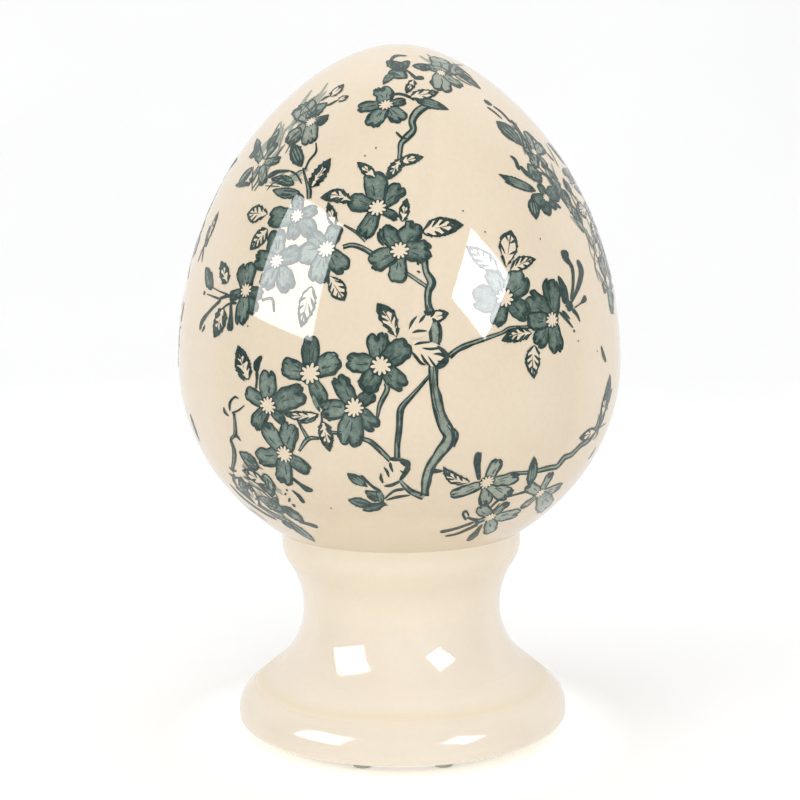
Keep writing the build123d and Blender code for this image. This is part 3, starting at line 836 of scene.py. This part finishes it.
def sheet_of(ink, material):
    verts, normals, faces, tones, count = [], [], [], [], 0
    for degrees, wanted in REPEATS:
        for s, n, f, tone, (az, z) in ink.chunks:
            if not wanted(az, z):
                continue
            p, q = spun(s, degrees), spun(n, degrees)
            verts.append(p * MM)
            normals.append(q)
            faces.append(f + count)
            tones.append(tone)
            count += len(p)
    verts, normals, faces, tones = map(np.vstack, (verts, normals, faces, [t[:, None] for t in tones]))
    mesh = bpy.data.meshes.new(ink.name)
    mesh.from_pydata(verts.tolist(), [], faces.tolist())
    mesh.polygons.foreach_set("use_smooth", np.ones(len(mesh.polygons), bool))
    mesh.attributes.new("tone", "FLOAT", "POINT").data.foreach_set("value", tones[:, 0].astype(np.float32))
    mesh.normals_split_custom_set_from_vertices(normals.tolist())
    mesh.materials.append(material)
    piece = bpy.data.objects.new(ink.name, mesh)
    scene.collection.objects.link(piece)
    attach(piece, "root")
    return piece


# ------------------------------------------------------------------ materials
def new_material(name):
    material = bpy.data.materials.new(name)
    material.use_nodes = True
    tree = material.node_tree
    tree.nodes.clear()
    out = tree.nodes.new("ShaderNodeOutputMaterial")
    shader = tree.nodes.new("ShaderNodeBsdfPrincipled")
    tree.links.new(shader.outputs["BSDF"], out.inputs["Surface"])
    coords = tree.nodes.new("ShaderNodeTexCoord")
    return material, tree, shader, coords.outputs["Object"]


def noise(tree, vector, scale, detail=3.0, rough=0.5):
    node = tree.nodes.new("ShaderNodeTexNoise")
    node.inputs["Scale"].default_value = scale
    node.inputs["Detail"].default_value = detail
    node.inputs["Roughness"].default_value = rough
    tree.links.new(vector, node.inputs["Vector"])
    return node.outputs["Fac"]


def ramp(tree, value, stops):
    node = tree.nodes.new("ShaderNodeValToRGB")
    bar = node.color_ramp
    while len(bar.elements) < len(stops):
        bar.elements.new(0.5)
    for element, (where, colour) in zip(bar.elements, stops):
        element.position = where
        element.color = (*colour, 1.0) if len(colour) == 3 else colour
    tree.links.new(value, node.inputs["Fac"])
    return node.outputs["Color"]


def sums(tree, operation, a, b, clamp=False):
    node = tree.nodes.new("ShaderNodeMath")
    node.operation = operation
    node.use_clamp = clamp
    for socket, value in zip(node.inputs, (a, b)):
        if isinstance(value, (int, float)):
            socket.default_value = value
        else:
            tree.links.new(value, socket)
    return node.outputs[0]


def blend(tree, factor, a, b, mode="MIX"):
    node = tree.nodes.new("ShaderNodeMix")
    node.data_type = "RGBA"
    node.blend_type = mode
    for socket, value in ((node.inputs[0], factor), (node.inputs[6], a), (node.inputs[7], b)):
        if isinstance(value, (int, float)):
            socket.default_value = value
        elif isinstance(value, tuple):
            socket.default_value = (*value, 1.0)
        else:
            tree.links.new(value, socket)
    return node.outputs[2]


def glaze_skin(tree, shader, vector, base=0.040):
    """The glaze that covers body and print alike: glassy, with a slow waviness and a fine orange peel."""
    shader.inputs["IOR"].default_value = 1.52
    slow = noise(tree, vector, 55.0, 1.0)
    fine = noise(tree, vector, 420.0, 2.0)
    level = sums(tree, "ADD", slow, sums(tree, "MULTIPLY", fine, 0.05))
    bump = tree.nodes.new("ShaderNodeBump")
    bump.inputs["Strength"].default_value = 0.03
    bump.inputs["Distance"].default_value = 0.0006
    tree.links.new(level, bump.inputs["Height"])
    tree.links.new(bump.outputs["Normal"], shader.inputs["Normal"])
    wear = sums(tree, "ADD", sums(tree, "MULTIPLY", noise(tree, vector, 130.0, 4.0), 0.04), base - 0.02)
    tree.links.new(wear, shader.inputs["Roughness"])


def glaze_body(name, light, deep, specks=True):
    material, tree, shader, vector = new_material(name)
    cloud = noise(tree, vector, 26.0, 4.0, 0.55)
    colour = ramp(tree, cloud, ((0.30, deep), (0.70, light)))
    grain = noise(tree, vector, 700.0, 2.0)
    colour = blend(tree, 0.04, colour, ramp(tree, grain, ((0.35, tuple(0.80 * c for c in deep)), (0.65, (1.0, 0.97, 0.90)))), "MIX")
    if specks:
        cells = tree.nodes.new("ShaderNodeTexVoronoi")
        cells.inputs["Scale"].default_value = 75.0
        tree.links.new(vector, cells.inputs["Vector"])
        near = sums(tree, "LESS_THAN", cells.outputs["Distance"], 0.032)
        split = tree.nodes.new("ShaderNodeSeparateColor")
        tree.links.new(cells.outputs["Color"], split.inputs["Color"])
        few = sums(tree, "LESS_THAN", split.outputs[0], 0.10)
        colour = blend(tree, sums(tree, "MULTIPLY", sums(tree, "MULTIPLY", near, few), 0.55), colour, (0.30, 0.27, 0.21))
    tree.links.new(colour, shader.inputs["Base Color"])
    glaze_skin(tree, shader, vector)
    return material, tree, shader, vector, colour


def by_height(tree, vector, low, high, stops):
    """Colour by height above the floor, between two heights in metres."""
    parts = tree.nodes.new("ShaderNodeSeparateXYZ")
    tree.links.new(vector, parts.inputs["Vector"])
    share = sums(tree, "DIVIDE", sums(tree, "SUBTRACT", parts.outputs["Z"], low), high - low, True)
    return ramp(tree, share, stops)


def print_material(name, deep, light, spread=0.5):
    """Transfer print under the glaze: mottled ink with a fine stipple."""
    material, tree, shader, vector = new_material(name)
    tone = tree.nodes.new("ShaderNodeAttribute")
    tone.attribute_name = "tone"
    mottle = noise(tree, vector, 640.0, 4.0, 0.7)
    blotch = noise(tree, vector, 110.0, 2.0)
    level = sums(tree, "ADD", sums(tree, "MULTIPLY", mottle, 1.35), sums(tree, "MULTIPLY", blotch, 0.55))
    level = sums(tree, "ADD", sums(tree, "SUBTRACT", level, 0.42), sums(tree, "MULTIPLY", tone.outputs["Fac"], spread))
    colour = ramp(tree, level, ((0.25, deep), (0.80, light)))
    dots = tree.nodes.new("ShaderNodeTexVoronoi")
    dots.inputs["Scale"].default_value = 2300.0
    tree.links.new(vector, dots.inputs["Vector"])
    colour = blend(tree, sums(tree, "MULTIPLY", sums(tree, "LESS_THAN", dots.outputs["Distance"], 0.34), 0.35), colour, deep)
    tree.links.new(colour, shader.inputs["Base Color"])
    glaze_skin(tree, shader, vector)
    return material


cream_light, cream_deep = (0.775, 0.665, 0.516), (0.750, 0.631, 0.477)
egg_glaze, tree, shader, vector, colour = glaze_body("glaze_cream_egg", cream_light, cream_deep)
# Painted shade: the egg's colour is darkened and warmed towards its lower part, most below about 70 mm and gone above
# about 118 mm.
lower_egg_painted_shade = ((0.10, (0.905, 0.890, 0.855)), (0.22, (0.918, 0.906, 0.876)), (0.34, (0.945, 0.938, 0.920)), (0.58, (1.0, 1.0, 1.0)))
tree.links.new(blend(tree, 1.0, colour, by_height(tree, vector, 0.060, 0.160, lower_egg_painted_shade), "MULTIPLY"), shader.inputs["Base Color"])
ink_petal = print_material("ink_petal", (0.072, 0.110, 0.094), (0.235, 0.296, 0.250))
ink_wood = print_material("ink_wood", (0.115, 0.152, 0.125), (0.330, 0.365, 0.295))
ink_line = print_material("ink_line", (0.014, 0.030, 0.028), (0.066, 0.098, 0.088), 0.5)
ink_star, tree, shader, vector, colour = glaze_body("ink_reserve", cream_light, cream_deep, False)
# The pale reserve in the print gets the same painted shade towards the bottom of the egg.
tree.links.new(blend(tree, 1.0, colour, by_height(tree, vector, 0.060, 0.160, lower_egg_painted_shade), "MULTIPLY"), shader.inputs["Base Color"])


def stand_material(name, light, deep):
    """The same glaze on the foot, with painted shade in height bands and a darker ring in the flare that is partly
    painted crease shade and partly pooled glaze; the foot ring and the inside are bare biscuit.
    """
    material, tree, shader, vector, colour = glaze_body(name, light, deep)
    # Painted shade by height: the foot is darker over its lowest 17 mm and in a band under the collar, darkest between
    # 55 and 60 mm.
    foot_painted_shade_bands = (
        (0.00, (0.900, 0.900, 0.890)), (0.12, (0.925, 0.925, 0.920)), (0.24, (0.985, 0.985, 0.980)), (0.56, (1.0, 1.0, 1.0)),
        (0.70, (0.972, 0.958, 0.928)), (0.79, (0.922, 0.908, 0.864)), (0.86, (0.926, 0.912, 0.868)), (0.92, (0.982, 0.970, 0.932)),
    )
    colour = blend(tree, 1.0, colour, by_height(tree, vector, 0.0, 0.070, foot_painted_shade_bands), "MULTIPLY")
    place_ = tree.nodes.new("ShaderNodeSeparateXYZ")
    tree.links.new(vector, place_.inputs["Vector"])
    height = place_.outputs["Z"]
    # A darker, yellower ring round the flare at about 18 mm: partly painted shade of a shallow crease, partly glaze
    # pooled there.
    wave = sums(tree, "MULTIPLY", sums(tree, "SUBTRACT", noise(tree, vector, 30.0, 2.0), 0.5), 0.0016)
    off = sums(tree, "ABSOLUTE", sums(tree, "SUBTRACT", sums(tree, "ADD", height, wave), 0.0178), 0.0)
    crease_shade_and_pool = sums(tree, "SUBTRACT", 1.0, sums(tree, "DIVIDE", off, 0.0034), True)
    crease_shade_and_pool = sums(tree, "MULTIPLY", sums(tree, "MULTIPLY", crease_shade_and_pool, crease_shade_and_pool), 0.42)
    colour = blend(tree, crease_shade_and_pool, colour, (0.800, 0.670, 0.430))
    low = sums(tree, "SUBTRACT", 1.0, sums(tree, "DIVIDE", sums(tree, "SUBTRACT", height, 0.0022), 0.0030), True)
    colour = blend(tree, sums(tree, "MULTIPLY", low, 0.45), colour, (0.810, 0.690, 0.470))
    # bare clay where the surface faces the axis or the floor
    facing = tree.nodes.new("ShaderNodeNewGeometry")
    flat = tree.nodes.new("ShaderNodeVectorMath")
    flat.operation = "MULTIPLY"
    flat.inputs[1].default_value = (1.0, 1.0, 0.0)
    tree.links.new(vector, flat.inputs[0])
    toward = tree.nodes.new("ShaderNodeVectorMath")
    toward.operation = "DOT_PRODUCT"
    tree.links.new(flat.outputs[0], toward.inputs[0])
    tree.links.new(facing.outputs["True Normal"], toward.inputs[1])
    inside = sums(tree, "LESS_THAN", toward.outputs["Value"], -0.0005)
    split = tree.nodes.new("ShaderNodeSeparateXYZ")
    tree.links.new(facing.outputs["True Normal"], split.inputs["Vector"])
    under = sums(tree, "MULTIPLY", sums(tree, "LESS_THAN", split.outputs["Z"], -0.985), sums(tree, "LESS_THAN", height, 0.004))
    bare = sums(tree, "MAXIMUM", inside, under)
    clay = ramp(tree, noise(tree, vector, 900.0, 5.0, 0.65), ((0.30, (0.56, 0.48, 0.37)), (0.70, (0.74, 0.67, 0.55))))
    colour = blend(tree, bare, colour, clay)
    tree.links.new(colour, shader.inputs["Base Color"])
    crease = sums(tree, "SUBTRACT", 1.0, sums(tree, "DIVIDE", sums(tree, "ABSOLUTE", sums(tree, "SUBTRACT", height, 0.0200), 0.0), 0.0125), True)
    gloss = sums(tree, "ADD", shader.inputs["Roughness"].links[0].from_socket, sums(tree, "MULTIPLY", sums(tree, "MULTIPLY", crease, crease), 0.45))
    dry = sums(tree, "ADD", sums(tree, "MULTIPLY", noise(tree, vector, 500.0, 3.0), 0.2), 0.66)
    mix = tree.nodes.new("ShaderNodeMix")
    mix.data_type = "FLOAT"
    tree.links.new(bare, mix.inputs[0])
    tree.links.new(gloss, mix.inputs[2])
    tree.links.new(dry, mix.inputs[3])
    tree.links.new(mix.outputs[0], shader.inputs["Roughness"])
    return material


stand_glaze = stand_material("glaze_cream_stand", (0.884, 0.786, 0.655), (0.864, 0.760, 0.622))

for ink, material in ((tint, ink_petal), (wood, ink_wood), (dark, ink_line), (pale, ink_star)):
    sheet_of(ink, material)

# ------------------------------------------------------------------ CAD pieces with their finishes
for name in ("egg_shell",):
    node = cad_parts[name]
    node.data.materials.clear()
    node.data.materials.append(egg_glaze)
for name in ("pedestal_stand", "slip_joint"):
    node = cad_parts[name]
    node.data.materials.clear()
    node.data.materials.append(stand_glaze)

rubber, tree, shader, vector = new_material("pad_rubber")
tree.links.new(
    ramp(tree, noise(tree, vector, 900.0, 4.0), ((0.3, (0.36, 0.375, 0.365)), (0.7, (0.52, 0.535, 0.52)))),
    shader.inputs["Base Color"],
)
tree.links.new(sums(tree, "ADD", sums(tree, "MULTIPLY", noise(tree, vector, 600.0, 3.0), 0.25), 0.5), shader.inputs["Roughness"])
for name in ("pad_front_left", "pad_front_right", "pad_rear_left", "pad_rear_right"):
    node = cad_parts[name]
    node.data.materials.clear()
    node.data.materials.append(rubber)

# ------------------------------------------------------------------ floor and light
profile = [(-4.0, 0.0), (1.0, 0.0)]
profile += [(1.0 + 1.2 * math.sin(a), 1.2 - 1.2 * math.cos(a)) for a in np.linspace(0.06, math.pi / 2, 24)]
profile += [(2.2, 4.0)]
sweep = [-5.0, -2.5, 0.0, 2.5, 5.0]
floor_mesh = bpy.data.meshes.new("floor")
floor_mesh.from_pydata(
    [(x, y, z) for y, z in profile for x in sweep],
    [],
    [(i * 5 + j, i * 5 + j + 1, i * 5 + j + 6, i * 5 + j + 5) for i in range(len(profile) - 1) for j in range(4)],
)
floor_mesh.polygons.foreach_set("use_smooth", np.ones(len(floor_mesh.polygons), bool))
floor = bpy.data.objects.new("floor", floor_mesh)
scene.collection.objects.link(floor)
floor.visible_glossy = False
paper, tree, shader, vector = new_material("floor_paper")
tree.links.new(
    ramp(tree, noise(tree, vector, 3.0, 2.0), ((0.3, (0.945, 0.945, 0.94)), (0.7, (0.965, 0.965, 0.96)))),
    shader.inputs["Base Color"],
)
shader.inputs["Roughness"].default_value = 0.85
shader.inputs["Specular IOR Level"].default_value = 0.1
# Painted light: the floor glows under and round the foot, fading from 45 to 82 mm out, to lighten the contact shadow;
# beyond that it keeps a faint glow.
shader.inputs["Emission Color"].default_value = (1.0, 0.99, 0.97, 1.0)
flat = tree.nodes.new("ShaderNodeVectorMath")
flat.operation = "LENGTH"
tree.links.new(vector, flat.inputs[0])
shadow_fill_glow = tree.nodes.new("ShaderNodeMapRange")
shadow_fill_glow.interpolation_type = "SMOOTHSTEP"
shadow_fill_glow.inputs["From Min"].default_value, shadow_fill_glow.inputs["From Max"].default_value = 0.045, 0.082
shadow_fill_glow.inputs["To Min"].default_value, shadow_fill_glow.inputs["To Max"].default_value = 0.36, 0.02
tree.links.new(flat.outputs["Value"], shadow_fill_glow.inputs["Value"])
tree.links.new(shadow_fill_glow.outputs["Result"], shader.inputs["Emission Strength"])
floor_mesh.materials.append(paper)


def softbox(name, centre, facing, turn, size, radiance, diffuse=True, glossy=True, colour=(1.0, 1.0, 1.0)):
    """A flat lamp. It faces the egg from the given azimuth and elevation, and is turned about that line."""
    light = bpy.data.lights.new(name, "AREA")
    light.shape = "RECTANGLE"
    light.color = colour
    light.size, light.size_y = size
    light.energy = radiance * math.pi * size[0] * size[1]
    lamp = bpy.data.objects.new(name, light)
    scene.collection.objects.link(lamp)
    a, e, t = (math.radians(v) for v in (*facing, turn))
    way = Vector((math.sin(a) * math.cos(e), -math.cos(a) * math.cos(e), math.sin(e)))
    side = Vector((math.cos(a), math.sin(a), 0.0))
    up = side.cross(-way).normalized()
    x, y = side * math.cos(t) + up * math.sin(t), up * math.cos(t) - side * math.sin(t)
    lamp.matrix_world = Matrix(
        [[x[i], y[i], way[i], centre[i]] for i in range(3)] + [[0.0, 0.0, 0.0, 1.0]]
    )
    lamp.visible_camera = False
    lamp.visible_diffuse = diffuse
    lamp.visible_glossy = glossy
    return lamp


left_box = ((-1.827, -1.030, 1.216), (-52.1, 11.0), -7.0, (1.48, 1.54))
right_box = ((0.691, -0.731, 0.529), (44.4, 29.5), -46.3, (0.40, 0.48))
softbox("softbox_left", *left_box, 9.3, diffuse=False, colour=(0.975, 0.985, 1.0))
softbox("softbox_right", *right_box, 15.5, diffuse=False, colour=(0.975, 0.985, 1.0))
softbox("spread_left", *left_box, 2.0, glossy=False)
softbox("spread_right", (0.691, -0.731, 0.529), (44.4, 29.5), -46.3, (0.8, 0.8), 0.25, glossy=False)
softbox("overhead", (0.0, -0.2, 1.8), (0.0, 84.0), 0.0, (2.6, 2.6), 0.62, glossy=False)
softbox("front_fill", (0.5, -2.2, 0.8), (12.0, 18.0), 0.0, (1.7, 1.7), 1.0, glossy=False)

world = bpy.data.worlds.new("studio")
scene.world = world
world.use_nodes = True
back = world.node_tree.nodes["Background"]
back.inputs["Color"].default_value = (0.985, 0.99, 1.0, 1.0)
# For reflections the room is pale behind the egg and falls off to dark behind the camera.
sky = world.node_tree
where = sky.nodes.new("ShaderNodeTexCoord")
parts = sky.nodes.new("ShaderNodeSeparateXYZ")
sky.links.new(where.outputs["Generated"], parts.inputs["Vector"])
fall = sky.nodes.new("ShaderNodeMapRange")
fall.interpolation_type = "SMOOTHERSTEP"
fall.inputs["From Min"].default_value, fall.inputs["From Max"].default_value = -0.15, 0.60
fall.inputs["To Min"].default_value, fall.inputs["To Max"].default_value = 0.0, 0.95
sky.links.new(parts.outputs["Y"], fall.inputs["Value"])
# The floor's reflection is part of the room, at half its brightness.
down = sky.nodes.new("ShaderNodeMapRange")
down.interpolation_type = "SMOOTHSTEP"
down.inputs["From Min"].default_value, down.inputs["From Max"].default_value = -0.05, -0.50
down.inputs["To Min"].default_value, down.inputs["To Max"].default_value = 0.0, 0.50
sky.links.new(parts.outputs["Z"], down.inputs["Value"])
room = sums(sky, "MAXIMUM", fall.outputs["Result"], down.outputs["Result"])
ray = sky.nodes.new("ShaderNodeLightPath")
pick = sky.nodes.new("ShaderNodeMix")
pick.data_type = "FLOAT"
pick.inputs[2].default_value = 0.74
sky.links.new(ray.outputs["Is Glossy Ray"], pick.inputs[0])
sky.links.new(room, pick.inputs[3])
sky.links.new(pick.outputs[0], back.inputs["Strength"])
scene.view_settings.view_transform = "Standard"
scene.view_settings.look = "None"
